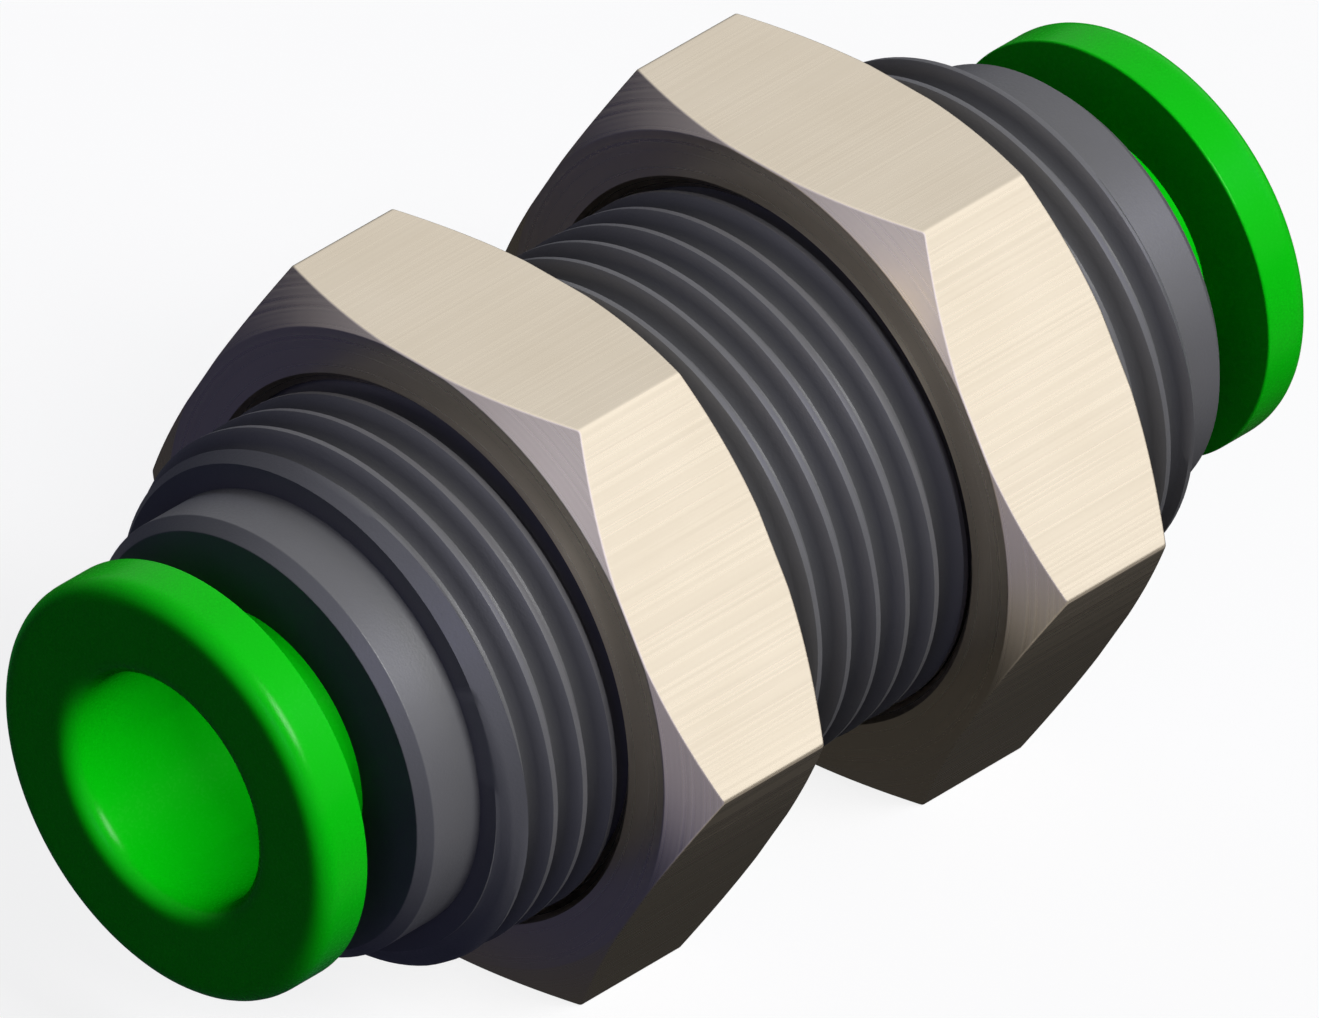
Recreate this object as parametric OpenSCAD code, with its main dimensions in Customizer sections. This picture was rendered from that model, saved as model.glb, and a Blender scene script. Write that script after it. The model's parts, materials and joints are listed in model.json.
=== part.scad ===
// Bulkhead push-fit union for 6 mm tube, M14 x 1 barrel with two hexagon nuts.
// Millimetres. The tube axis is X, the origin is the middle of the union, and +Z is up.
// A nut's flat faces down, so the union rests on its two nuts.
// Lengths along X inside one end are distances from the middle, and each end is a mirror
// image of the other: side is -1 for the front end and 1 for the back end.

/* [Tube] */
// Outer diameter of the tube that is pushed in
tube_d = 6; // [5.4:0.1:6.5]
// Clearance on each side between the tube and the release sleeve's bore
sleeve_gap = 0.1; // [0.05:0.01:0.2]
// Clearance on each side between the tube and its socket in the barrel
socket_gap = 0.05; // [0.03:0.01:0.1]
// Diameter of the flow hole through the middle of the barrel
flow_d = 4; // [2.5:0.1:4.6]

/* [Barrel] */
// Outer diameter of the barrel's fine thread
thread_d = 14; // [13.6:0.1:16]
// Length of the barrel
barrel_len = 23.8; // [22:0.1:40]
// Chamfer at each end of the thread
thread_chamfer = 0.5; // [0.2:0.05:0.55]
// Thickness of the wall between the two tube stops
stop_wall = 3; // [1:0.1:5]
// Lead-in chamfer at the mouth of each tube socket
socket_chamfer = 0.3; // [0.1:0.05:0.5]

/* [Guide ring] */
// Outer diameter of the ring's head, which stands out of the barrel
head_d = 11.7; // [11.4:0.1:12.4]
// Length of the head outside the barrel
head_len = 1.85; // [1:0.05:3]
// Chamfer round the head's outer edge
head_chamfer = 0.3; // [0.1:0.05:0.6]
// Length of the shank that is pressed into the barrel
shank_len = 2.8; // [2.4:0.1:4]
// Step from the head down to the shank, on each side
shank_step = 0.65; // [0.5:0.05:0.8]
// Length of the relief inside the shank, where the sleeve's barb slides
relief_len = 1.8; // [1.6:0.1:2.2]
// Clearance on each side between the barb and the relief
relief_gap = 0.1; // [0.05:0.01:0.2]

/* [Release sleeve] */
// Outer diameter of the sleeve's push flange
flange_d = 11.2; // [9:0.1:12.4]
// Thickness of the push flange
flange_t = 1.5; // [1.2:0.05:2.5]
// Fillet round the flange's outer front edge
flange_fillet = 0.5; // [0.2:0.05:0.6]
// Fillet round the mouth of the sleeve's bore
mouth_fillet = 0.5; // [0.2:0.05:0.6]
// Free gap between the guide ring and the flange
push_gap = 1.68; // [1.4:0.02:2.5]
// Wall of the sleeve's neck
neck_wall = 0.35; // [0.3:0.05:0.6]
// Running clearance on each side between the neck and the guide ring
neck_gap = 0.05; // [0.02:0.01:0.09]
// Height of the barb that keeps the sleeve in the guide ring
barb_h = 0.35; // [0.2:0.05:0.45]
// Length of the barb
barb_len = 0.9; // [0.6:0.1:1.1]
// Free gap between the barb and the guide ring's lip
barb_gap = 0.1; // [0.05:0.01:0.2]
// Length of the tapered nose that spreads the claws
nose_len = 0.5; // [0.3:0.1:0.6]
// Wall left at the nose's tip
nose_wall = 0.15; // [0.1:0.05:0.3]
// Number of slits that let the barb snap through the guide ring
slit_count = 4; // [2:1:6]
// Width of a snap slit
slit_w = 0.7; // [0.4:0.05:0.9]
// Length of a snap slit from the nose's tip to the middle of its round root
slit_len = 2.2; // [1.6:0.1:3]

/* [Lock claws] */
// Number of claws round the ring
claw_count = 10; // [6:1:14]
// Thickness of the spring sheet
claw_t = 0.25; // [0.2:0.05:0.35]
// Width of the slit between two claws
claw_slit = 0.4; // [0.3:0.05:0.6]
// Diameter of the relief hole at the root of each slit
claw_root_d = 0.6; // [0.5:0.05:0.7]
// Width of the flat rim that is clamped
claw_rim = 0.68; // [0.5:0.02:0.75]
// Lean of the claws towards the middle
claw_lean = 40; // [30:1:44]
// How far the claw tips reach inside the tube's surface
claw_bite = 0.1; // [0.05:0.01:0.15]
// Depth of the claw pocket outside the tube's surface
claw_depth = 1.9; // [1.75:0.05:2]

/* [Claw seat] */
// Length of the seat ring under the claws
seat_len = 1.65; // [1.45:0.05:2.2]
// Clearance on each side between the tube and the seat ring
seat_gap = 0.3; // [0.15:0.05:0.4]
// Flat land at the seat ring's inner end, before its cone
seat_land = 0.25; // [0.15:0.05:0.35]
// Width of the seat's flat under the claws' rim
seat_flat = 0.5; // [0.4:0.05:0.55]

/* [Seal] */
// Length of the seal and its groove
seal_len = 1.8; // [1.5:0.1:2.4]
// Depth of the seal groove outside the tube's surface
seal_depth = 1.5; // [1.4:0.05:1.6]
// How far the sealing lip reaches inside the tube's surface
seal_bite = 0.12; // [0.05:0.01:0.15]
// Length of the seal's solid heel
seal_heel = 0.75; // [0.5:0.05:0.9]
// Thickness of the seal's lips
lip_t = 0.4; // [0.3:0.05:0.5]

/* [Nuts] */
// Wall of a nut between the thread and each flat; 1.5 on M14 gives 17 across the flats
nut_wall = 1.5; // [1.2:0.05:3]
// Thickness of each nut
nut_t = 4.9; // [3:0.1:6]
// Space between the two nuts, where the panel goes
nut_space = 6.84; // [1:0.1:9]
// Angle of the chamfer on the nuts' corners
nut_chamfer_angle = 30; // [20:1:35]
// Running clearance on each side between the thread's crests and the nut
nut_gap = 0.05; // [0.02:0.01:0.09]
// Countersink round each end of the nut's hole
nut_countersink = 0.25; // [0.1:0.05:0.4]

/* [Hidden] */
// Clearance on each side of a ring that is pressed into the barrel
press_gap = 0.01;
// Overrun of cutting shapes past the faces they cut
cut = 1;

tube_r = tube_d / 2;
thread_r = thread_d / 2;
barrel_end = barrel_len / 2;
stop_end = stop_wall / 2;

// Stations along X, from the barrel's end face inwards
shank_end = barrel_end - shank_len;
rim_end = shank_end - claw_t;
seat_end = rim_end - seat_len;
seal_end = seat_end - seal_len;

// Radii of the stepped hole in each end of the barrel
flow_r = flow_d / 2;
socket_r = tube_r + socket_gap;
seal_r = tube_r + seal_depth;
claw_r = tube_r + claw_depth;
shank_r = head_d / 2 - shank_step;

// Release sleeve
sleeve_bore_r = tube_r + sleeve_gap;
neck_r = sleeve_bore_r + neck_wall;
barb_r = neck_r + barb_h;
head_end = barrel_end + head_len;
flange_back = head_end + push_gap;
flange_front = flange_back + flange_t;
relief_end = shank_end + relief_len;
barb_end = relief_end - barb_gap;
nose_start = barb_end - barb_len;
nose_end = nose_start - nose_len;

// Guide ring
guide_bore_r = neck_r + neck_gap;
relief_r = barb_r + relief_gap;
guide_edge = 0.2;

// Lock claws
claw_outer_r = claw_r - press_gap;
claw_root_r = claw_outer_r - claw_rim;
claw_tip_r = tube_r - claw_bite;
claw_drop = (claw_root_r - claw_tip_r) * tan(claw_lean);
claw_sheet = claw_t / cos(claw_lean);

// Nuts
nut_flat_r = thread_r + nut_wall;
nut_corner_r = nut_flat_r / cos(30);
nut_bore_r = thread_r + nut_gap;
nut_inner = nut_space / 2;

$fn = 96;

// Turns a profile about the tube axis. Its points are [radius, distance along X].
module turned() {
    rotate([0, 90, 0]) rotate_extrude() children();
}

// Puts a piece that is drawn on the +X end onto the end that is asked for
module on_side(side) {
    mirror([side < 0 ? 1 : 0, 0, 0]) children();
}

// A rectangular field of a profile between two radii and two stations
module band(r_in, r_out, x_in, x_out) {
    translate([r_in, x_in]) square([r_out - r_in, x_out - x_in]);
}

// What a convex fillet takes off a square corner: the corner is at the origin of this
// shape, and the material lies towards the directions dr and dx (each 1 or -1)
module fillet_waste(radius, dr, dx) {
    mirror([dr < 0 ? 1 : 0, 0]) mirror([0, dx < 0 ? 1 : 0]) difference() {
        translate([-cut, -cut]) square(radius + cut);
        translate([radius, radius]) circle(radius);
        translate([radius, -cut]) square([cut, radius + 2 * cut]);
        translate([-cut, radius]) square([radius + 2 * cut, cut]);
    }
}

// Half of the barrel's outer profile, with the chamfered end of the thread
module barrel_outline() {
    polygon([
        [0, -barrel_end], [thread_r - thread_chamfer, -barrel_end],
        [thread_r, thread_chamfer - barrel_end], [thread_r, barrel_end - thread_chamfer],
        [thread_r - thread_chamfer, barrel_end], [0, barrel_end]
    ]);
}

// The stepped hole in one end: tube socket, seal groove, claw pocket, guide ring pocket
module cartridge_hole() {
    band(0, socket_r, stop_end, seal_end + cut / 2);
    band(0, seal_r, seal_end, seat_end + cut / 2);
    band(0, claw_r, seat_end, shank_end + cut / 2);
    band(0, shank_r + press_gap, shank_end, barrel_end + cut);
    polygon([
        [0, seal_end - socket_chamfer], [socket_r, seal_end - socket_chamfer],
        [socket_r + socket_chamfer, seal_end], [0, seal_end]
    ]);
}

// Threaded barrel: one moulded tube with a wall in the middle that stops both tubes
module barrel() {
    color([0.25, 0.25, 0.26])
    turned() difference() {
        barrel_outline();
        band(0, flow_r, -barrel_end, barrel_end);
        cartridge_hole();
        mirror([0, 1]) cartridge_hole();
    }
}

// Ring pressed into the barrel: it clamps the claws and holds the release sleeve in
module guide_ring(side) {
    color([0.2, 0.2, 0.21])
    on_side(side) turned() difference() {
        union() {
            band(guide_bore_r, shank_r, shank_end, barrel_end + cut / 2);
            band(guide_bore_r, head_d / 2, barrel_end, head_end);
        }
        band(0, relief_r, shank_end - cut, relief_end);
        polygon([
            [head_d / 2 - head_chamfer, head_end], [head_d / 2 + cut, head_end + cut],
            [head_d / 2 + cut, head_end - head_chamfer - cut]
        ]);
        polygon([
            [guide_bore_r, head_end - guide_edge], [guide_bore_r + guide_edge, head_end],
            [guide_bore_r + guide_edge, head_end + cut], [0, head_end + cut], [0, head_end - guide_edge]
        ]);
    }
}

// Section of the push sleeve: flange outside, thin neck, barb behind the guide ring's lip,
// tapered nose
module sleeve_profile() {
    difference() {
        union() {
            band(sleeve_bore_r, flange_d / 2, flange_back, flange_front);
            band(sleeve_bore_r, neck_r, nose_start, flange_back + flange_t / 2);
            band(sleeve_bore_r, barb_r, nose_start, barb_end);
            polygon([
                [sleeve_bore_r, nose_end], [sleeve_bore_r + nose_wall, nose_end],
                [barb_r, nose_start], [sleeve_bore_r, nose_start]
            ]);
        }
        translate([flange_d / 2, flange_front]) fillet_waste(flange_fillet, -1, -1);
        translate([sleeve_bore_r, flange_front]) fillet_waste(mouth_fillet, 1, -1);
    }
}

// Slits that part the nose and the barb into springy quarters, each with a round root
module snap_slits() {
    for (i = [0 : slit_count - 1])
        rotate([(i + 0.5) * 360 / slit_count, 0, 0]) {
            translate([nose_end - cut, -slit_w / 2, 0])
                cube([slit_len + cut, slit_w, barb_r + cut]);
            translate([nose_end + slit_len, 0, 0])
                cylinder(h = barb_r + cut, d = slit_w, $fn = 24);
        }
}

// Push sleeve that frees the tube, held in the guide ring by its barb
module release_sleeve(side) {
    color([0.0, 0.72, 0.05])
    on_side(side) difference() {
        turned() sleeve_profile();
        snap_slits();
    }
}

// One claw ring before it is slit: a flat rim with a cone of spring sheet inside it.
// The tip is cut square to the tube, so its inner edge is a sharp tooth.
module claw_sheet_profile() {
    polygon([
        [claw_outer_r, rim_end], [claw_outer_r, shank_end], [claw_root_r, shank_end],
        [claw_tip_r, shank_end - claw_drop],
        [claw_tip_r, shank_end - claw_drop - claw_sheet / 2],
        [claw_tip_r + claw_sheet / 2, shank_end - claw_drop - claw_sheet / 2],
        [claw_root_r + (claw_sheet - claw_t) / tan(claw_lean), rim_end]
    ]);
}

// Slits that part the claws, each ending in a round hole at its root
module claw_slits() {
    for (i = [0 : claw_count - 1])
        rotate([i * 360 / claw_count, 0, 0]) {
            translate([shank_end - claw_drop - cut, -claw_slit / 2, 0])
                cube([claw_drop + 2 * cut, claw_slit, claw_root_r]);
            translate([shank_end - claw_drop, 0, claw_root_r])
                rotate([0, 90, 0]) cylinder(h = claw_drop + cut, d = claw_root_d, $fn = 24);
        }
}

// Ring of spring claws that lean inwards and bite the tube when it is pulled
module lock_claws(side) {
    color([0.78, 0.79, 0.8])
    on_side(side) difference() {
        turned() claw_sheet_profile();
        claw_slits();
    }
}

// Seat ring: its flat carries the claws' rim, its cone leaves the claws room to bend,
// and its inner end closes the seal's groove
module claw_seat(side) {
    color([0.8, 0.66, 0.35])
    on_side(side) turned()
        polygon([
            [tube_r + seat_gap, seat_end], [claw_r - press_gap, seat_end],
            [claw_r - press_gap, rim_end], [claw_r - press_gap - seat_flat, rim_end],
            [tube_r + seat_gap, seat_end + seat_land]
        ]);
}

// Rubber seal with a solid heel and two lips that open towards the pressure
module seal_ring(side) {
    color([0.08, 0.08, 0.08])
    on_side(side) turned() {
        heel_in = tube_r + seal_bite;
        outer = seal_r - press_gap;
        heel_start = seat_end - seal_heel;
        polygon([
            [heel_in, seat_end], [outer, seat_end], [outer, seal_end],
            [outer - lip_t, seal_end], [outer - lip_t, heel_start],
            [tube_r + lip_t, heel_start], [tube_r - seal_bite + lip_t, seal_end + lip_t / 2],
            [tube_r - seal_bite, seal_end + lip_t / 2], [heel_in, heel_start]
        ]);
    }
}

// Outer shape of a nut along its axis, which chamfers the corners at both faces
module nut_envelope() {
    rise = (nut_corner_r - nut_flat_r + cut) * tan(nut_chamfer_angle);
    polygon([
        [0, 0], [nut_flat_r, 0], [nut_corner_r + cut, rise],
        [nut_corner_r + cut, nut_t - rise], [nut_flat_r, nut_t], [0, nut_t]
    ]);
}

// Hole of a nut with a countersink at both faces
module nut_hole() {
    band(0, nut_bore_r, -cut, nut_t + cut);
    polygon([[0, -cut], [nut_bore_r + nut_countersink + cut, -cut],
        [nut_bore_r + nut_countersink, 0], [nut_bore_r, nut_countersink], [0, nut_countersink]]);
    polygon([[0, nut_t + cut], [nut_bore_r + nut_countersink + cut, nut_t + cut],
        [nut_bore_r + nut_countersink, nut_t], [nut_bore_r, nut_t - nut_countersink],
        [0, nut_t - nut_countersink]]);
}

// Hexagon nut with two flats level, one of them on the ground
module nut(side) {
    color([0.86, 0.83, 0.76])
    on_side(side) translate([nut_inner, 0, 0]) difference() {
        intersection() {
            rotate([0, 90, 0]) rotate([0, 0, 30]) cylinder(h = nut_t, r = nut_corner_r, $fn = 6);
            turned() nut_envelope();
        }
        turned() nut_hole();
    }
}

barrel();
nut(-1);  // nut_front
nut(1);  // nut_back
guide_ring(-1);  // guide_ring_front
guide_ring(1);  // guide_ring_back
release_sleeve(-1);  // release_sleeve_front
release_sleeve(1);  // release_sleeve_back
lock_claws(-1);  // lock_claws_front
lock_claws(1);  // lock_claws_back
claw_seat(-1);  // claw_seat_front
claw_seat(1);  // claw_seat_back
seal_ring(-1);  // seal_ring_front
seal_ring(1);  // seal_ring_back
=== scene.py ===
# Bulkhead push-fit union: looks and studio. Sizes in the dictionaries are millimetres.
import json
import math
import bmesh
import bpy
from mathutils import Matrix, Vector


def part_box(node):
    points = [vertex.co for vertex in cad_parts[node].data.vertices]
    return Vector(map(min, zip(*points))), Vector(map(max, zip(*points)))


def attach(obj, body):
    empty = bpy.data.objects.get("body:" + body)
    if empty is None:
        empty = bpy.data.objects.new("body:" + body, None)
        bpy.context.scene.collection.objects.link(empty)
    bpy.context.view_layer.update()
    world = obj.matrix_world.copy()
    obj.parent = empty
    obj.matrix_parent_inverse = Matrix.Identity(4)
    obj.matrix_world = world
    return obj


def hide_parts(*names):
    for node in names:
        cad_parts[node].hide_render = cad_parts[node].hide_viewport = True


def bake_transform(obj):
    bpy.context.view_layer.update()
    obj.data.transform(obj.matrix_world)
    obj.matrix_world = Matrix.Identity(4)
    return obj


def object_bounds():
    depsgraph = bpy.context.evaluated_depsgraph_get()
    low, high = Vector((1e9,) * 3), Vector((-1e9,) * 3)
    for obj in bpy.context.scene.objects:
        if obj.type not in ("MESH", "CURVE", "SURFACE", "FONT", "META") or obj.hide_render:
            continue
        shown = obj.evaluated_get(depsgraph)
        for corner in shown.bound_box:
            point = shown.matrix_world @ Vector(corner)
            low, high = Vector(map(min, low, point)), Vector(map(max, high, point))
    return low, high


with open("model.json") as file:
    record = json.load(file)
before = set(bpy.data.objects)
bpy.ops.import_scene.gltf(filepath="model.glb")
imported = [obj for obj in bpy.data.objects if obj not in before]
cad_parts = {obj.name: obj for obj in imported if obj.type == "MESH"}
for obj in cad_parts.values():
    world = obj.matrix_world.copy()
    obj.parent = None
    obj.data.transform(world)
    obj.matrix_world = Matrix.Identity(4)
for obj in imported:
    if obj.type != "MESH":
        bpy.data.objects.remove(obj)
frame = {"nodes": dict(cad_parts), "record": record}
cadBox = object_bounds()
mm = 0.001
print("frame loaded:", len(frame["nodes"]), "nodes")


# Small helpers for nodes and colours

def addNode(tree, kind, settings=None, links=None):
    node = tree.nodes.new(kind)
    for name, value in (settings or {}).items():
        setattr(node, name, value)
    for key, value in (links or {}).items():
        if isinstance(value, bpy.types.NodeSocket):
            tree.links.new(value, node.inputs[key])
        else:
            node.inputs[key].default_value = value
    return node


def linear(hexColour):
    # sRGB hex value to the linear colour that a shader socket takes
    channels = [int(hexColour[i:i + 2], 16) / 255 for i in (1, 3, 5)]
    return [c / 12.92 if c <= 0.04045 else ((c + 0.055) / 1.055) ** 2.4 for c in channels] + [1.0]


def math2(tree, operation, first, second=0.0, third=0.0):
    links = {0: first, 1: second}
    if operation == "MULTIPLY_ADD":
        links[2] = third
    return addNode(tree, "ShaderNodeMath", {"operation": operation}, links).outputs[0]


def vectorMath(tree, operation, links):
    return addNode(tree, "ShaderNodeVectorMath", {"operation": operation}, links).outputs


def combined(tree, x=0.0, y=0.0, z=0.0):
    return addNode(tree, "ShaderNodeCombineXYZ", None, {0: x, 1: y, 2: z}).outputs[0]


def separated(tree, vector):
    return addNode(tree, "ShaderNodeSeparateXYZ", None, {0: vector}).outputs


def mixNumber(tree, share, first, second):
    return addNode(tree, "ShaderNodeMix", None, {0: share, 2: first, 3: second}).outputs[0]


def mixColour(tree, share, first, second):
    return addNode(tree, "ShaderNodeMix", {"data_type": "RGBA"}, {0: share, 6: first, 7: second}).outputs[2]


def mapRange(tree, value, source, target=(0.0, 1.0), interpolation="LINEAR"):
    return addNode(tree, "ShaderNodeMapRange", {"interpolation_type": interpolation},
                   {0: value, 1: source[0], 2: source[1], 3: target[0], 4: target[1]}).outputs[0]


def millimetres(tree):
    # the object coordinates of a piece, in millimetres
    coordinates = addNode(tree, "ShaderNodeTexCoord").outputs["Object"]
    return addNode(tree, "ShaderNodeMapping", None, {"Vector": coordinates, "Scale": [1 / mm] * 3}).outputs[0]


# Materials

noiseSpread = (0.3, 0.7)    # nearly all values of a noise texture lie between these
endFaceNormal = 0.5         # a face whose normal has more of X than this counts as an end face


def newMaterial(name):
    material = bpy.data.materials.new(name)
    material.use_nodes = True
    tree = material.node_tree
    tree.nodes.clear()
    output = addNode(tree, "ShaderNodeOutputMaterial")
    shader = addNode(tree, "ShaderNodeBsdfPrincipled")
    tree.links.new(shader.outputs[0], output.inputs[0])
    return material, tree, shader


def noise(tree, space, scale, detail):
    return addNode(tree, "ShaderNodeTexNoise", None,
                   {"Vector": space, "Scale": scale, "Detail": detail}).outputs["Fac"]


def surface(tree, shader, look, space, marks):
    # the colour drifts in a slow cloud, and the roughness and the relief follow the marks
    cloud = noise(tree, space, 1 / look["cloudSize"], detail=3.0)
    tint = mixColour(tree, cloud, linear(look["colour"]), linear(look["cloudColour"]))
    rough = mapRange(tree, marks, noiseSpread,
                     (look["roughness"] - look["roughSpread"], look["roughness"] + look["roughSpread"]))
    bump = addNode(tree, "ShaderNodeBump", None,
                   {"Height": marks, "Distance": look["markDepth"] * mm, "Strength": 1.0})
    tree.links.new(tint, shader.inputs["Base Color"])
    tree.links.new(rough, shader.inputs["Roughness"])
    tree.links.new(bump.outputs[0], shader.inputs["Normal"])


def mouldedPolymer(name, look):
    # plastic or rubber out of a mould: an even colour with a faint mottle, and the mould's grain,
    # which breaks up the highlight through roughness and bump
    material, tree, shader = newMaterial(name)
    space = millimetres(tree)
    surface(tree, shader, look, space, noise(tree, space, 1 / look["grainSize"], detail=2.0))
    shader.inputs["IOR"].default_value = look["ior"]
    shader.inputs["Specular IOR Level"].default_value = look["gloss"]
    return material


def platedMetal(name, look):
    # bare or plated metal: tool rings on faces square to the axis, drawn or rolled lines along it
    # everywhere else, and a slow change of tone
    material, tree, shader = newMaterial(name)
    space = millimetres(tree)
    axes = separated(tree, space)
    radius = vectorMath(tree, "LENGTH", {0: combined(tree, 0.0, axes[1], axes[2])})["Value"]
    ringSpace = combined(tree, math2(tree, "MULTIPLY", radius, 1 / look["toolFeed"]))
    rings = noise(tree, ringSpace, scale=1.0, detail=1.0)
    stretched = addNode(tree, "ShaderNodeMapping", None,
                        {"Vector": space,
                         "Scale": [1 / look["drawLength"], 1 / look["drawWidth"], 1 / look["drawWidth"]]})
    lines = noise(tree, stretched.outputs[0], scale=1.0, detail=1.0)
    normal = addNode(tree, "ShaderNodeNewGeometry").outputs["Normal"]
    onEndFace = math2(tree, "GREATER_THAN", math2(tree, "ABSOLUTE", separated(tree, normal)[0]),
                      endFaceNormal)
    surface(tree, shader, look, space, mixNumber(tree, onEndFace, lines, rings))
    shader.inputs["Metallic"].default_value = 1.0
    return material


# Every size here is in millimetres on the piece. The picture shows about 40 pixels to a millimetre, so
# a mark finer than 0.05 mm is drawn coarser than it is, as its note says.

# Glass-filled nylon from a spark-eroded mould: a dark satin skin with no sharp reflection. The mould's
# grain is about 0.03 mm and is drawn at 0.07 to show, and the mottle is the flow of the glass, which
# clouds the skin every millimetre or two.
barrelLook = {"colour": "#525254", "cloudColour": "#5a5a5c", "cloudSize": 1.6, "grainSize": 0.07,
              "markDepth": 0.004, "roughness": 0.42, "roughSpread": 0.06, "ior": 1.5, "gloss": 0.5}
mouldedGlassFilledNylon = mouldedPolymer("mouldedGlassFilledNylon", barrelLook)

# Acetal from a polished mould: a strong green with a soft waxy gleam on its rounded edges. The polish
# leaves marks of about 0.02 mm, drawn at 0.09 and a micron deep, and the mottle is barely there.
sleeveLook = {"colour": "#02b009", "cloudColour": "#04ba0c", "cloudSize": 2.2, "grainSize": 0.09,
              "markDepth": 0.001, "roughness": 0.26, "roughSpread": 0.04, "ior": 1.48, "gloss": 0.1}
polishedMouldAcetal = mouldedPolymer("polishedMouldAcetal", sleeveLook)

# Nitrile rubber pressed in a blasted mould: nearly black and dull, with a powdery bloom in the mottle.
# The blast grain is about 0.03 mm, drawn at 0.06.
sealLook = {"colour": "#1b1b1c", "cloudColour": "#222223", "cloudSize": 0.9, "grainSize": 0.06,
            "markDepth": 0.004, "roughness": 0.6, "roughSpread": 0.08, "ior": 1.52, "gloss": 0.5}
pressedNitrileRubber = mouldedPolymer("pressedNitrileRubber", sealLook)

# Brass hexagon bar, turned and nickel plated: a warm pale metal whose flats keep the drawing die's
# lines along the bar, and whose end faces keep the tool's rings. The rings stand one feed apart, 0.09
# mm. The die's lines are about 0.03 mm wide and far longer than a nut, and are drawn 0.07 to show.
nutLook = {"colour": "#f2e6d3", "cloudColour": "#eaddc8", "cloudSize": 3.0, "toolFeed": 0.09,
           "drawWidth": 0.07, "drawLength": 16.0, "markDepth": 0.0021, "roughness": 0.3, "roughSpread": 0.06}
nickelPlatedBrass = platedMetal("nickelPlatedBrass", nutLook)

# Stainless spring strip, rolled bright and stamped: a cold, sharp reflection with rolling lines about
# 0.02 mm wide, drawn at 0.05.
clawLook = {"colour": "#c9cacd", "cloudColour": "#bcbdc0", "cloudSize": 1.5, "toolFeed": 0.2,
            "drawWidth": 0.05, "drawLength": 1.5, "markDepth": 0.001, "roughness": 0.22, "roughSpread": 0.04}
rolledSpringSteel = platedMetal("rolledSpringSteel", clawLook)

# Bare brass, turned all over: yellow, with tool rings at the true feed of 0.06 mm and a slight tarnish.
seatLook = {"colour": "#d2ab62", "cloudColour": "#bd9650", "cloudSize": 1.5, "toolFeed": 0.06,
            "drawWidth": 0.06, "drawLength": 0.6, "markDepth": 0.002, "roughness": 0.3, "roughSpread": 0.05}
turnedBrass = platedMetal("turnedBrass", seatLook)
print("materials made")


# Shapes turned about the tube axis. A profile is a closed list of (radius, x), and a column is the
# profile at one angle, so a hexagon is a turned shape whose profile changes round the axis.

holdShare = 0.2         # how far a holding point stands from its rounded edge, as a share of the rounding
weldDistance = 0.002    # points nearer than this become one
sliverLength = 0.0005   # edges shorter than this are taken out


def roundedProfile(corners, arcSteps=5):
    # corners: (radius, x, fillet); each fillet becomes an arc that touches both sides, with a holding
    # point beyond each end of it, so that the wide faces beside it stay flat in the light
    points = []
    count = len(corners)
    for i, (r, x, fillet) in enumerate(corners):
        here = Vector((r, x))
        if not fillet:
            points.append(here)
            continue
        before = (Vector(corners[i - 1][:2]) - here).normalized()
        after = (Vector(corners[(i + 1) % count][:2]) - here).normalized()
        half = before.angle(after) / 2
        start = here + before * (fillet / math.tan(half))
        end = here + after * (fillet / math.tan(half))
        centre = here + (before + after).normalized() * (fillet / math.sin(half))
        a, b = start - centre, end - centre
        turn = a.angle_signed(b)
        points.append(start + before * fillet * holdShare)
        for k in range(arcSteps + 1):
            spin = -turn * k / arcSteps
            points.append(centre + Vector((a.x * math.cos(spin) - a.y * math.sin(spin),
                                           a.x * math.sin(spin) + a.y * math.cos(spin))))
        points.append(end + after * fillet * holdShare)
    return [(p.x, p.y) for p in points]


def turnedBlank(name, columns, threadRows=0):
    # columns: (angle in turns, profile). The first threadRows points of each profile belong to the
    # thread, which the thread tree shifts along the axis, so the seam is left open here.
    mesh = bpy.data.meshes.new(name)
    rows = len(columns[0][1])
    points, turns, onThread = [], [], []
    for turn, profile in columns:
        angle = 2 * math.pi * turn
        for k, (r, x) in enumerate(profile):
            points.append((x * mm, r * math.cos(angle) * mm, r * math.sin(angle) * mm))
            turns.append(turn)
            onThread.append(1.0 if k < threadRows else 0.0)
    faces = [(c * rows + k, c * rows + (k + 1) % rows, (c + 1) * rows + (k + 1) % rows, (c + 1) * rows + k)
             for c in range(len(columns) - 1) for k in range(rows)]
    mesh.from_pydata(points, [], faces)
    for label, values in (("turn", turns), ("onThread", onThread)):
        mesh.attributes.new(label, "FLOAT", "POINT").data.foreach_set("value", values)
    piece = bpy.data.objects.new(name, mesh)
    bpy.context.scene.collection.objects.link(piece)
    return piece


def evenColumns(profile, count):
    return [(i / count, profile) for i in range(count + 1)]


def openTree(name, numbers, counts=()):
    # a tree that takes a blank, the named numbers and counts, and a material
    tree = bpy.data.node_groups.new(name, "GeometryNodeTree")
    sockets = tree.interface
    sockets.new_socket("Geometry", in_out="INPUT", socket_type="NodeSocketGeometry")
    identifiers = {}
    for kind, labels in (("Int", counts), ("Float", numbers), ("Material", ("Material",))):
        for label in labels:
            socket = sockets.new_socket(label, in_out="INPUT", socket_type="NodeSocket" + kind)
            identifiers[label] = socket.identifier
    sockets.new_socket("Geometry", in_out="OUTPUT", socket_type="NodeSocketGeometry")
    return tree, addNode(tree, "NodeGroupInput").outputs, identifiers


def closeTree(tree, given, geometry):
    # what comes out is one real mesh in the given material
    real = addNode(tree, "GeometryNodeRealizeInstances", None, {"Geometry": geometry})
    dressed = addNode(tree, "GeometryNodeSetMaterial", None,
                      {"Geometry": real.outputs[0], "Material": given["Material"]})
    addNode(tree, "NodeGroupOutput", None, {0: dressed.outputs[0]})


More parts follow.
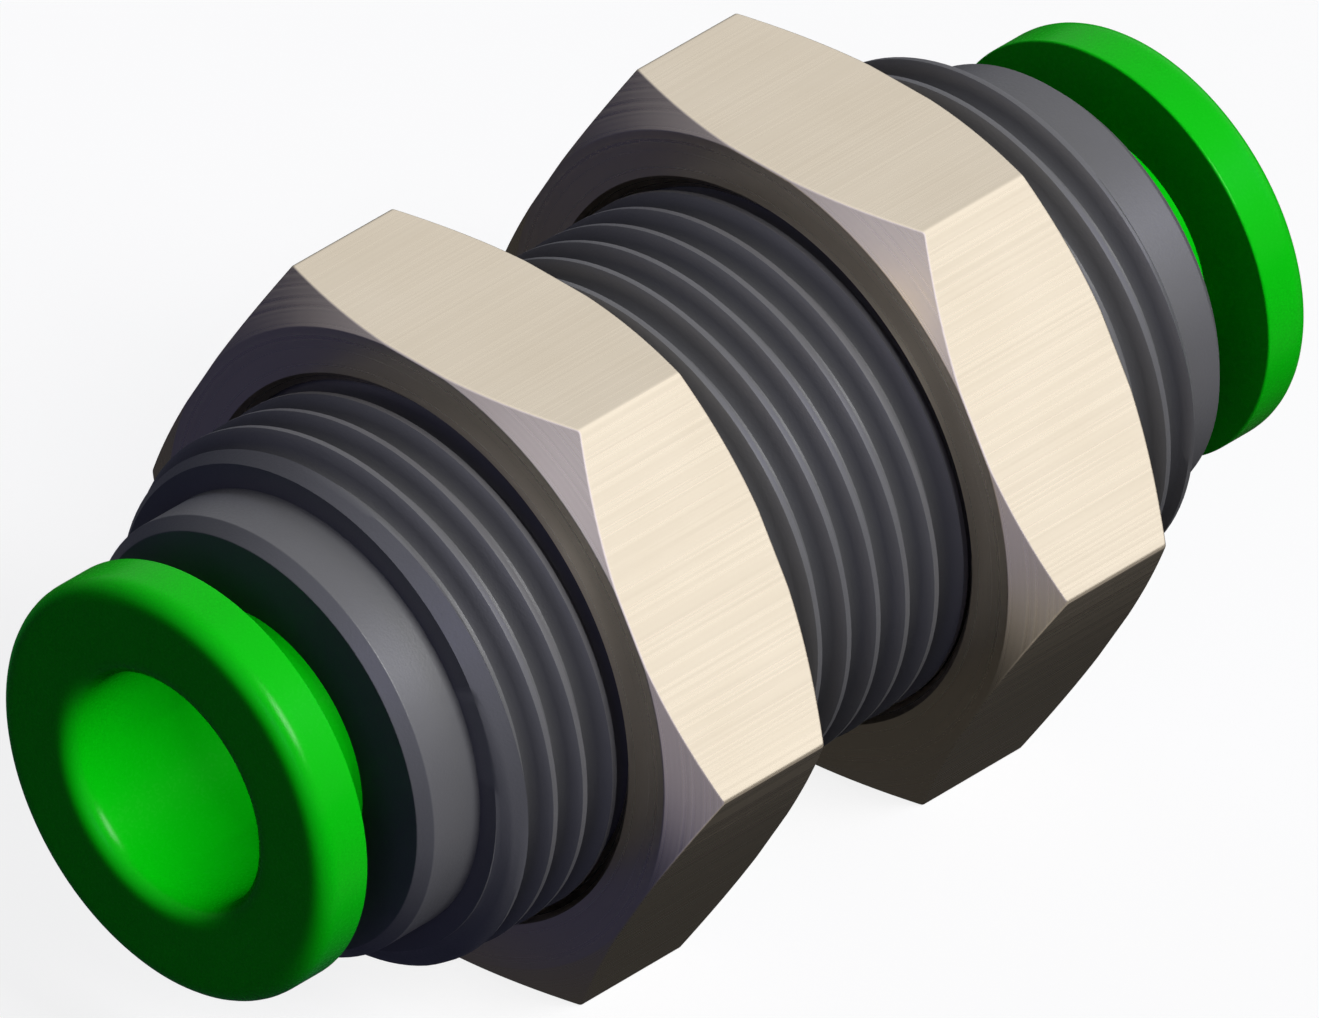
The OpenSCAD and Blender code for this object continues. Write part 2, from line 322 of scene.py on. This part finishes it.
def merged(tree, geometry):
    return addNode(tree, "GeometryNodeMergeByDistance", None,
                   {"Geometry": geometry, "Distance": weldDistance * mm}).outputs[0]


# The thread's form, in shares of half a pitch counted from the middle of a groove: the flank lies
# between rootEnd and crestStart. flankEase is 0 for a straight flank and 1 for an S-shaped one.
threadForm = {"rootEnd": 0.25, "crestStart": 0.83, "flankEase": 0.5}


def threadTree():
    # Cuts a fine thread into a turned blank: each thread row is led along the helix, held between
    # the two ends, and set to the radius that the flank, or the end's cone, has there.
    tree, given, identifiers = openTree("fineThread", ("Pitch", "Crest Radius", "Root Radius", "Centre",
                                                       "Half Length", "End Radius", "Side"))
    turn, threadMark = [addNode(tree, "GeometryNodeInputNamedAttribute", {"data_type": "FLOAT"},
                                {0: label}).outputs[0] for label in ("turn", "onThread")]
    axes = separated(tree, addNode(tree, "GeometryNodeInputPosition").outputs[0])

    # station along the axis, led by the helix and held between the ends
    led = math2(tree, "MULTIPLY_ADD", turn, given["Pitch"], axes[0])
    low = math2(tree, "SUBTRACT", given["Centre"], given["Half Length"])
    high = math2(tree, "ADD", given["Centre"], given["Half Length"])
    station = math2(tree, "MINIMUM", math2(tree, "MAXIMUM", led, low), high)

    # 0 in the middle of a groove and 1 on a crest
    pitches = math2(tree, "DIVIDE", station, given["Pitch"])
    phase = math2(tree, "FRACT", math2(tree, "SUBTRACT", pitches, turn))
    ramp = math2(tree, "ABSOLUTE", math2(tree, "MULTIPLY_ADD", phase, 2.0, -1.0))
    flankSpan = (threadForm["rootEnd"], threadForm["crestStart"])
    straight = mapRange(tree, ramp, flankSpan)
    eased = mapRange(tree, ramp, flankSpan, interpolation="SMOOTHSTEP")
    height = mixNumber(tree, threadForm["flankEase"], straight, eased)
    depth = math2(tree, "SUBTRACT", given["Crest Radius"], given["Root Radius"])
    flank = math2(tree, "MULTIPLY_ADD", height, depth, given["Root Radius"])

    # the chamfer or countersink at both ends; Side is 1 on a shaft and -1 in a hole
    fromEnd = math2(tree, "SUBTRACT", given["Half Length"],
                    math2(tree, "ABSOLUTE", math2(tree, "SUBTRACT", station, given["Centre"])))
    cone = math2(tree, "MULTIPLY_ADD", fromEnd, given["Side"], given["End Radius"])
    least = math2(tree, "MINIMUM", math2(tree, "MULTIPLY", flank, given["Side"]),
                  math2(tree, "MULTIPLY", cone, given["Side"]))
    newRadius = math2(tree, "MULTIPLY", least, given["Side"])
    outward = vectorMath(tree, "NORMALIZE", {0: combined(tree, 0.0, axes[1], axes[2])})[0]
    spread = vectorMath(tree, "SCALE", {0: outward, "Scale": newRadius})[0]
    newPlace = vectorMath(tree, "ADD", {0: spread, 1: combined(tree, station)})[0]
    cutMesh = addNode(tree, "GeometryNodeSetPosition", None,
                      {"Geometry": given["Geometry"], "Position": newPlace,
                       "Selection": math2(tree, "GREATER_THAN", threadMark, 0.5)})
    closeTree(tree, given, merged(tree, cutMesh.outputs[0]))
    return tree, identifiers


def finished(piece, material, sharpAngle=32):
    # welds the seam, points the faces outwards and gives the finish
    bm = bmesh.new()
    bm.from_mesh(piece.data)
    bmesh.ops.remove_doubles(bm, verts=bm.verts, dist=weldDistance * mm)
    bmesh.ops.dissolve_degenerate(bm, edges=bm.edges, dist=sliverLength * mm)
    bmesh.ops.recalc_face_normals(bm, faces=bm.faces)
    bm.to_mesh(piece.data)
    bm.free()
    for label in ("turn", "onThread"):
        if label in piece.data.attributes:
            piece.data.attributes.remove(piece.data.attributes[label])
    piece.data.materials.clear()
    piece.data.materials.append(material)
    piece.data.shade_smooth()
    piece.data.set_sharp_from_angle(angle=math.radians(sharpAngle))
    return piece


def grown(blank, tree, identifiers, values, material):
    # runs a blank through a node tree and keeps the result as a plain mesh
    cutter = blank.modifiers.new("shape", "NODES")
    cutter.node_group = tree
    cutter[identifiers["Material"]] = material
    for label, value in values.items():
        cutter[identifiers[label]] = value
    evaluated = blank.evaluated_get(bpy.context.evaluated_depsgraph_get())
    blank.data = bpy.data.meshes.new_from_object(evaluated)
    blank.modifiers.remove(cutter)
    return finished(blank, material)


def dress(piece, node):
    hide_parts(node)
    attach(piece, bodyOf[node])


bodyOf = {node: body for body, nodes in frame["record"]["behaviour"]["bodies"].items() for node in nodes}
ends = {"front": -1, "back": 1}
fineThread, threadSockets = threadTree()


def span(node):
    # (lowest x, highest x, largest radius or half height) of a CAD node, in millimetres
    low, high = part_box(node)
    return low[0] / mm, high[0] / mm, high[2] / mm


# Barrel: one moulded tube with the M14 x 1 thread all along it and a stepped hole in each end

barrel = {"pitch": 1.0, "threadDepth": 0.613, "chamfer": 0.5, "rowsPerPitch": 12, "columns": 120,
          "stop": 1.5, "flowRadius": 2.0, "socketRadius": 3.05, "socketChamfer": 0.3,
          "sealEnd": 5.4, "sealRadius": 4.5, "seatEnd": 7.2, "clawRadius": 4.9,
          "shankEnd": 9.1, "shankRadius": 5.21}


def helixRows(crest, centre, half, perPitch):
    # one pitch more than the length, because the helix leads each row along by up to one pitch
    pitch = barrel["pitch"]
    count = math.ceil((2 * half / pitch + 1) * perPitch)
    return [(crest, centre - half - pitch + i * pitch / perPitch) for i in range(count + 1)]


def threaded(blank, crest, centre, half, endRadius, side, material):
    values = {"Pitch": barrel["pitch"], "Crest Radius": crest, "Root Radius": crest - barrel["threadDepth"],
              "Centre": centre, "Half Length": half, "End Radius": endRadius}
    values = {label: value * mm for label, value in values.items()}
    return grown(blank, fineThread, threadSockets, {**values, "Side": side}, material)


def makeBarrel():
    low, high, crest = span("barrel")
    b = barrel
    half = (high - low) / 2
    rows = helixRows(crest, 0.0, half, b["rowsPerPitch"])
    bore = [(b["shankRadius"], half), (b["shankRadius"], b["shankEnd"]), (b["clawRadius"], b["shankEnd"]),
            (b["clawRadius"], b["seatEnd"]), (b["sealRadius"], b["seatEnd"]), (b["sealRadius"], b["sealEnd"]),
            (b["socketRadius"] + b["socketChamfer"], b["sealEnd"]),
            (b["socketRadius"], b["sealEnd"] - b["socketChamfer"]),
            (b["socketRadius"], b["stop"]), (b["flowRadius"], b["stop"])]
    profile = rows + bore + [(r, -x) for r, x in reversed(bore)]
    blank = turnedBlank("threadedBarrel", evenColumns(profile, b["columns"]), len(rows))
    piece = threaded(blank, crest, 0.0, half, crest - b["chamfer"], 1.0, mouldedGlassFilledNylon)
    dress(piece, "barrel")


makeBarrel()
print("barrel threaded")


# Nuts: hexagon bar with both faces chamfered, countersunk and threaded inside

nut = {"threadGap": 0.05, "countersinkRadius": 7.3, "chamferAngle": 30.0, "edgeRadius": 0.08,
       "cornerRadius": 0.12, "rowsPerPitch": 12, "faceSteps": 3, "flatSteps": 4,
       "cornerAngles": (0.0, 0.25, 0.5, 0.75, 1.0, 1.4, 2.0), "flatColumns": 12}
sides = 6
halfSide = 180 // sides     # degrees from a corner to the middle of a flat


def polar(length, angle):
    return Vector((length * math.cos(angle), length * math.sin(angle)))


def hexagonRadius(fromCorner, flat, cornerRadius):
    # distance from the axis to a hexagon with rounded corners, at an angle from a corner
    half = math.radians(halfSide)
    inset = (flat - cornerRadius) / math.cos(half)
    touch = math.atan2(cornerRadius * math.sin(half), inset + cornerRadius * math.cos(half))
    angle = abs(fromCorner)
    if angle < touch:
        side = inset * math.sin(angle)
        return inset * math.cos(angle) + math.sqrt(cornerRadius ** 2 - side ** 2)
    return flat / math.cos(half - angle)


def nutEdge(reach, flat, halfWidth, slope, edgeRadius):
    # the rounded way from the end face over the chamfer to the flat, in one column
    n = Vector((math.sin(slope), math.cos(slope)))
    onCone = n.dot(Vector((flat, halfWidth))) - edgeRadius
    faceX, flatR = halfWidth - edgeRadius, reach - edgeRadius
    first = Vector(((onCone - n.y * faceX) / n.x, faceX))
    second = Vector((flatR, (onCone - n.x * flatR) / n.y))
    if first.x > second.x:
        first = second = Vector((flatR, faceX))
    quarter, cone = math.pi / 2, math.pi / 2 - slope
    onFace, onFlat = nut["faceSteps"], nut["flatSteps"]
    faceArc = [first + polar(edgeRadius, quarter + (cone - quarter) * k / onFace) for k in range(onFace + 1)]
    flatArc = [second + polar(edgeRadius, cone * (1 - k / onFlat)) for k in range(onFlat + 1)]
    hold = edgeRadius * holdShare
    along = (flatArc[0] - faceArc[-1]) * min(1.0, hold / max((flatArc[0] - faceArc[-1]).length, hold)) / 2
    points = [faceArc[0] - Vector((hold, 0))] + faceArc + [faceArc[-1] + along, flatArc[0] - along]
    points += flatArc + [flatArc[-1] - Vector((0, hold))]
    return [(p.x, p.y) for p in points]


def nutAngles():
    # degrees round the nut from a corner at the end of Y, closer together near each corner
    near, count = list(nut["cornerAngles"]), nut["flatColumns"]
    rising = near + [near[-1] + (halfSide - near[-1]) * (i + 1) / count for i in range(count)]
    sector = rising + [2 * halfSide - a for a in reversed(rising[1:-1])]
    return [2 * halfSide * k + a for k in range(sides) for a in sector] + [360.0]


def makeNut(end):
    low, high, flat = span("nut_" + end)
    crest = span("barrel")[2]
    centre, half = (low + high) / 2, (high - low) / 2
    slope = math.radians(nut["chamferAngle"])
    rows = helixRows(crest, centre, half, nut["rowsPerPitch"])
    columns = []
    for degrees in nutAngles():
        fromCorner = (degrees + halfSide) % (2 * halfSide) - halfSide
        reach = hexagonRadius(math.radians(fromCorner), flat, nut["cornerRadius"])
        edge = nutEdge(reach, flat, half, slope, nut["edgeRadius"])
        outside = [(r, centre + x) for r, x in edge] + [(r, centre - x) for r, x in reversed(edge)]
        columns.append((degrees / 360, rows + outside))
    blank = turnedBlank("hexNut_" + end, columns, len(rows))
    piece = threaded(blank, crest + nut["threadGap"], centre, half, nut["countersinkRadius"], -1.0,
                     nickelPlatedBrass)
    dress(piece, "nut_" + end)


for end in ends:
    makeNut(end)
print("nuts made")


# Guide rings: turned heads with a chamfer, pressed into the barrel

guideRing = {"headChamfer": 0.3, "shankStep": 0.65, "shankEnd": 9.1, "boreRadius": 3.5, "mouthChamfer": 0.2,
             "reliefRadius": 3.9, "reliefEnd": 10.9, "edgeRadius": 0.05, "columns": 120}


def makeGuideRing(end, side):
    low, high, head = span("guide_ring_" + end)
    outer = max(abs(low), abs(high))
    root = span("barrel")[1]
    g = guideRing
    soft = g["edgeRadius"]
    shank = head - g["shankStep"]
    corners = [(g["reliefRadius"], g["shankEnd"], 0), (shank, g["shankEnd"], 0), (shank, root, 0),
               (head, root, 0), (head, outer - g["headChamfer"], soft),
               (head - g["headChamfer"], outer, soft), (g["boreRadius"] + g["mouthChamfer"], outer, soft),
               (g["boreRadius"], outer - g["mouthChamfer"], soft), (g["boreRadius"], g["reliefEnd"], 0),
               (g["reliefRadius"], g["reliefEnd"], 0)]
    profile = [(r, side * x) for r, x in roundedProfile(corners)]
    blank = turnedBlank("guideRing_" + end, evenColumns(profile, g["columns"]))
    piece = finished(blank, mouldedGlassFilledNylon)
    dress(piece, "guide_ring_" + end)


for end, side in ends.items():
    makeGuideRing(end, side)
print("guide rings made")


# Release sleeves: green push flange, thin neck, barb and tapered nose, slit into springy quarters

releaseSleeve = {"flange": 1.5, "outerFillet": 0.5, "mouthFillet": 0.5, "boreRadius": 3.1, "neckRadius": 3.45,
                 "barbRadius": 3.8, "barbEnd": 10.8, "noseStart": 9.9, "noseWall": 0.15, "edgeRadius": 0.06,
                 "columns": 144, "arcSteps": 8, "slits": 4, "slitWidth": 0.7, "slitLength": 2.2,
                 "slitRootSides": 24, "overrun": 1.0}


def slitTree():
    # Cuts round-ended slits into the nose: one stadium-shaped cutter on a spoke, set round the axis
    tree, given, identifiers = openTree("snapSlits", ("Width", "Open End", "Root", "Reach"), ("Count",))
    halfReach = math2(tree, "MULTIPLY", given["Reach"], 0.5)
    length = math2(tree, "ABSOLUTE", math2(tree, "SUBTRACT", given["Open End"], given["Root"]))
    middle = math2(tree, "MULTIPLY", math2(tree, "ADD", given["Open End"], given["Root"]), 0.5)
    box = addNode(tree, "GeometryNodeMeshCube", None,
                  {"Size": combined(tree, length, given["Width"], given["Reach"])})
    rootHole = addNode(tree, "GeometryNodeMeshCylinder", None,
                       {"Vertices": releaseSleeve["slitRootSides"], "Depth": given["Reach"],
                        "Radius": math2(tree, "MULTIPLY", given["Width"], 0.5)})
    cutter = addNode(tree, "GeometryNodeMeshBoolean", {"operation": "UNION", "solver": "EXACT"})
    for shape, station in ((box, middle), (rootHole, given["Root"])):
        placed = addNode(tree, "GeometryNodeTransform", None,
                         {"Geometry": shape.outputs["Mesh"],
                          "Translation": combined(tree, station, 0.0, halfReach)})
        tree.links.new(placed.outputs[0], cutter.inputs["Mesh 2"])
    spokes = addNode(tree, "GeometryNodeMeshLine", None, {"Count": given["Count"], "Offset": (0, 0, 0)})
    number = addNode(tree, "GeometryNodeInputIndex").outputs[0]
    turn = math2(tree, "DIVIDE", math2(tree, "MULTIPLY", math2(tree, "ADD", number, 0.5), 2 * math.pi),
                 given["Count"])
    cutters = addNode(tree, "GeometryNodeInstanceOnPoints", None,
                      {"Points": spokes.outputs[0], "Instance": cutter.outputs[0],
                       "Rotation": combined(tree, turn)})
    realCutters = addNode(tree, "GeometryNodeRealizeInstances", None, {"Geometry": cutters.outputs[0]})
    slit = addNode(tree, "GeometryNodeMeshBoolean", {"operation": "DIFFERENCE", "solver": "EXACT"},
                   {"Mesh 1": merged(tree, given["Geometry"]), "Mesh 2": realCutters.outputs[0]})
    closeTree(tree, given, slit.outputs[0])
    return tree, identifiers


snapSlits, slitSockets = slitTree()


def makeReleaseSleeve(end, side):
    low, high, rim = span("release_sleeve_" + end)
    outer, nose = max(abs(low), abs(high)), min(abs(low), abs(high))
    s = releaseSleeve
    back = outer - s["flange"]
    soft = s["edgeRadius"]
    corners = [(s["boreRadius"], nose, 0), (s["boreRadius"] + s["noseWall"], nose, 0),
               (s["barbRadius"], s["noseStart"], 0), (s["barbRadius"], s["barbEnd"], 0),
               (s["neckRadius"], s["barbEnd"], 0), (s["neckRadius"], back, 0), (rim, back, soft),
               (rim, outer, s["outerFillet"]), (s["boreRadius"], outer, s["mouthFillet"])]
    profile = [(r, side * x) for r, x in roundedProfile(corners, s["arcSteps"])]
    blank = turnedBlank("releaseSleeve_" + end, evenColumns(profile, s["columns"]))
    piece = grown(blank, snapSlits, slitSockets,
                  {"Count": s["slits"], "Width": s["slitWidth"] * mm,
                   "Open End": side * (nose - s["overrun"]) * mm,
                   "Root": side * (nose + s["slitLength"]) * mm,
                   "Reach": (s["barbRadius"] + s["overrun"]) * mm}, polishedMouldAcetal)
    dress(piece, "release_sleeve_" + end)


for end, side in ends.items():
    makeReleaseSleeve(end, side)
print("release sleeves made")


# Lock claws: the stamped spring ring. Its form is the solid's, taken over to get its finish.


def makeLockClaws(end):
    node = "lock_claws_" + end
    piece = bpy.data.objects.new("lockClaws_" + end, frame["nodes"][node].data.copy())
    bpy.context.scene.collection.objects.link(piece)
    finished(piece, rolledSpringSteel)
    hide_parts(node)
    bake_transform(piece)


for end, side in ends.items():
    makeLockClaws(end)
print("lock claws made")


# The other hidden rings keep their solids and get their finish

for end in ends:
    for name, material in (("claw_seat_", turnedBrass), ("seal_ring_", pressedNitrileRubber)):
        node = frame["nodes"][name + end]
        node.data.materials.clear()
        node.data.materials.append(material)
print("inner rings finished")


# Studio: a pale floor that fades to white, and white all round. Three large lamps stand in front and
# above: the key for the dark plastic, and two for the sleeves, of which one reaches into the bores. A
# small cool lamp lights the back, and a weak violet one each end. Metal shows no lamp: it mirrors a
# sky that is white towards skyBright, over the floor. To reflections alone the floor glows dim, as
# painted shade on the nuts' lower and end faces, with a paler strip in front, as a painted reflection
# on their lower chamfers. Sky and mirrored floor turn violet towards the front end, as the end faces in
# the photo do. A pair of values says where a change begins and ends, and in floorMirrored and skyLevel
# it is the two levels of brightness.

studio = {"floorSize": 3000.0, "floorColour": "#f4f4f4", "floorBounce": "#4a4c57", "floorWhite": 0.85,
          "floorFade": (45.0, 130.0), "floorMirrored": (0.06, 0.5), "paintedReflectionStrip": (-9.5, -12.5),
          "mirroredFloorColour": "#d0ccc8", "mirroredFloorViolet": "#bcbeff", "floorViolet": (-7.0, -11.0),
          "paintedStripViolet": 0.4, "fill": 0.05, "coolColour": "#ced4f0", "white": "#ffffff",
          "skyBright": (0.3, -0.74, 0.6), "skyTurn": (-0.95, 0.75), "skyLevel": (0.12, 1.14),
          "violetColour": "#e6e6ff", "violetGain": 0.28, "skyViolet": (-0.1, -0.6),
          "lampDistance": 600.0, "keySize": 240.0, "keyDirection": (0.14, -0.72, 0.68), "keyPower": 4.0,
          "sleeveDirection": (0.1, -0.69, 0.72), "sleevePower": 1.9, "borePower": 2.4,
          "endDirection": (0.75, -0.47, 0.47), "endPower": 0.3, "endColour": "#a8a8ff",
          "backDirection": (0.3, 0.93, 0.2), "backSize": 90.0, "backPower": 1.6}
white = linear(studio["white"])


def rayShares(tree):
    # 1 for rays from the camera or through glass, and 1 for what metal mirrors
    path = addNode(tree, "ShaderNodeLightPath").outputs
    seen = math2(tree, "MAXIMUM", path["Is Camera Ray"], path["Is Transmission Ray"])
    return seen, path["Is Glossy Ray"]


def makeFloor():
    low = cadBox[0]
    half = studio["floorSize"] / 2 * mm
    mesh = bpy.data.meshes.new("floor")
    mesh.from_pydata([(-half, -half, low[2]), (half, -half, low[2]), (half, half, low[2]),
                      (-half, half, low[2])], [], [(0, 1, 2, 3)])
    floor = bpy.data.objects.new("floor", mesh)
    bpy.context.scene.collection.objects.link(floor)
    material = bpy.data.materials.new("paleFloor")
    material.use_nodes = True
    tree = material.node_tree
    tree.nodes.clear()
    seen, mirrored = rayShares(tree)
    colour = mixColour(tree, seen, linear(studio["floorBounce"]), linear(studio["floorColour"]))
    diffuse = addNode(tree, "ShaderNodeBsdfDiffuse", None, {"Color": colour})
    # what gloss mirrors: the floor glows dim, as painted shade on the nuts' lower and end faces, and
    # brighter on its near part, as a painted reflection on their lower chamfers
    ground = millimetres(tree)
    groundAxes = separated(tree, ground)
    paintedStripShare = mapRange(tree, groundAxes[1], studio["paintedReflectionStrip"], interpolation="SMOOTHSTEP")
    nearFront = mapRange(tree, groundAxes[0], studio["floorViolet"])
    violet = math2(tree, "MULTIPLY", nearFront,
                   math2(tree, "MULTIPLY_ADD", paintedStripShare, studio["paintedStripViolet"] - 1, 1.0))
    mirroredFloorColour = mixColour(tree, violet, linear(studio["mirroredFloorColour"]), linear(studio["mirroredFloorViolet"]))
    mirroredFloorLevel = mixNumber(tree, paintedStripShare, *studio["floorMirrored"])
    glow = addNode(tree, "ShaderNodeEmission", None,
                   {"Color": mixColour(tree, seen, mirroredFloorColour, white),
                    "Strength": mixNumber(tree, seen, mirroredFloorLevel, 1.0)})
    # the shadow's ground fades to pure white away from the piece, so no horizon shows
    away = vectorMath(tree, "LENGTH", {0: ground})["Value"]
    whiteness = mapRange(tree, away, studio["floorFade"], (studio["floorWhite"], 1.0), "SMOOTHSTEP")
    share = math2(tree, "MAXIMUM", math2(tree, "MULTIPLY", seen, whiteness), mirrored)
    mixed = addNode(tree, "ShaderNodeMixShader", None, {0: share, 1: diffuse.outputs[0], 2: glow.outputs[0]})
    addNode(tree, "ShaderNodeOutputMaterial", None, {0: mixed.outputs[0]})
    mesh.materials.append(material)


def makeWorld():
    world = bpy.data.worlds.new("studioWorld")
    bpy.context.scene.world = world
    world.use_nodes = True
    tree = world.node_tree
    tree.nodes.clear()
    seen, mirrored = rayShares(tree)
    direction = addNode(tree, "ShaderNodeTexCoord").outputs["Generated"]
    towardsKey = vectorMath(tree, "DOT_PRODUCT", {0: direction, 1: studio["skyBright"]})["Value"]
    skyGlow = mapRange(tree, towardsKey, studio["skyTurn"], studio["skyLevel"], "SMOOTHSTEP")
    violet = mapRange(tree, separated(tree, direction)[0], studio["skyViolet"])
    skyColour = mixColour(tree, violet, white, linear(studio["violetColour"]))
    skyLevel = math2(tree, "MULTIPLY", skyGlow,
                     math2(tree, "MULTIPLY_ADD", violet, studio["violetGain"], 1.0))
    surround, sky, fill = [addNode(tree, "ShaderNodeBackground", None,
                                   {"Color": colour, "Strength": level}).outputs[0]
                           for colour, level in ((white, 1.0), (skyColour, skyLevel),
                                                 (linear(studio["coolColour"]), studio["fill"]))]
    lit = addNode(tree, "ShaderNodeMixShader", None, {0: mirrored, 1: fill, 2: sky})
    mixed = addNode(tree, "ShaderNodeMixShader", None, {0: seen, 1: lit.outputs[0], 2: surround})
    addNode(tree, "ShaderNodeOutputWorld", None, {0: mixed.outputs[0]})


def lightGroup(name, pieces, state):
    group = bpy.data.collections.new(name)
    for piece in pieces:
        group.objects.link(bpy.data.objects[piece])
    for member in group.collection_objects:
        member.light_linking.link_state = state
    return group


def makeLamp(name, direction, size, power, colour, lit, blocking=None, bounces=1024):
    lamp = bpy.data.lights.new(name, "AREA")
    lamp.size = size * mm
    lamp.energy = power
    lamp.color = linear(colour)[:3]
    lamp.cycles.max_bounces = bounces
    holder = bpy.data.objects.new(name, lamp)
    towards = Vector(direction).normalized()
    holder.location = towards * studio["lampDistance"] * mm
    holder.rotation_euler = towards.to_track_quat("Z", "Y").to_euler()
    holder.light_linking.receiver_collection = lit
    if blocking:
        holder.light_linking.blocker_collection = blocking
    bpy.context.scene.collection.objects.link(holder)
    return holder


def makeLamps():
    # Metal mirrors a lamp as a white glare, so the lamps leave the nuts out. A sleeve doesn't shade
    # its own bore from its two lamps, and nothing shades it from boreLamp. The light of these two
    # doesn't bounce, so no green falls on the dark rings beside the sleeves. The back lamp would
    # gleam on the tops of the rims, so gloss doesn't show it.
    nuts = ["hexNut_" + end for end in ends]
    sleeves = ["releaseSleeve_" + end for end in ends]
    allButNuts = lightGroup("allButNuts", nuts, "EXCLUDE")
    plainPlastic = lightGroup("plainPlastic", nuts + sleeves, "EXCLUDE")
    onlySleeves = lightGroup("onlySleeves", sleeves, "INCLUDE")
    pastSleeves = lightGroup("pastSleeves", sleeves, "EXCLUDE")
    onlyFloor = lightGroup("onlyFloor", ["floor"], "INCLUDE")
    s = studio
    makeLamp("keyLamp", s["keyDirection"], s["keySize"], s["keyPower"], s["white"], plainPlastic)
    makeLamp("sleeveLamp", s["sleeveDirection"], s["keySize"], s["sleevePower"], s["white"], onlySleeves,
             pastSleeves, bounces=0)
    makeLamp("boreLamp", s["sleeveDirection"], s["keySize"], s["borePower"], s["white"], onlySleeves,
             onlyFloor, bounces=0)
    backLamp = makeLamp("backLamp", s["backDirection"], s["backSize"], s["backPower"], s["coolColour"],
                        allButNuts)
    backLamp.visible_glossy = False
    for end, side in ends.items():
        x, y, z = s["endDirection"]
        makeLamp("endLamp_" + end, (side * x, y, z), s["keySize"], s["endPower"], s["endColour"],
                 allButNuts)


# The photo is an isometric parallel view, so a very long lens looks along the same direction. Twice
# this lens left the views from other sides empty.

photo = {"width": 1319, "pixelsPerMillimetre": 41.28, "centre": (659.5, 509.0), "origin": (658.6, 508.2),
         "azimuth": -45.0, "elevation": math.degrees(math.atan(1 / math.sqrt(2))), "lens": 1250.0,
         "sensor": 36.0, "clip": (10.0, 5000.0)}


def makeCamera():
    azimuth, elevation = math.radians(photo["azimuth"]), math.radians(photo["elevation"])
    back = Vector((math.sin(azimuth) * math.cos(elevation), -math.cos(azimuth) * math.cos(elevation),
                   math.sin(elevation)))
    data = bpy.data.cameras.new("photoCamera")
    data.lens, data.sensor_width = photo["lens"], photo["sensor"]
    data.clip_start, data.clip_end = [reach * mm for reach in photo["clip"]]
    camera = bpy.data.objects.new("photoCamera", data)
    turn = back.to_track_quat("Z", "Y")
    pixel = mm / photo["pixelsPerMillimetre"]
    distance = photo["width"] * pixel * photo["lens"] / photo["sensor"]
    right, up = turn @ Vector((1, 0, 0)), turn @ Vector((0, 1, 0))
    shiftRight = (photo["centre"][0] - photo["origin"][0]) * pixel
    shiftUp = (photo["origin"][1] - photo["centre"][1]) * pixel
    camera.location = back * distance + right * shiftRight + up * shiftUp
    camera.rotation_euler = turn.to_euler()
    bpy.context.scene.collection.objects.link(camera)
    bpy.context.scene.camera = camera


makeFloor()
makeWorld()
makeLamps()
makeCamera()
bpy.context.scene.view_settings.view_transform = "Standard"
print("studio made")
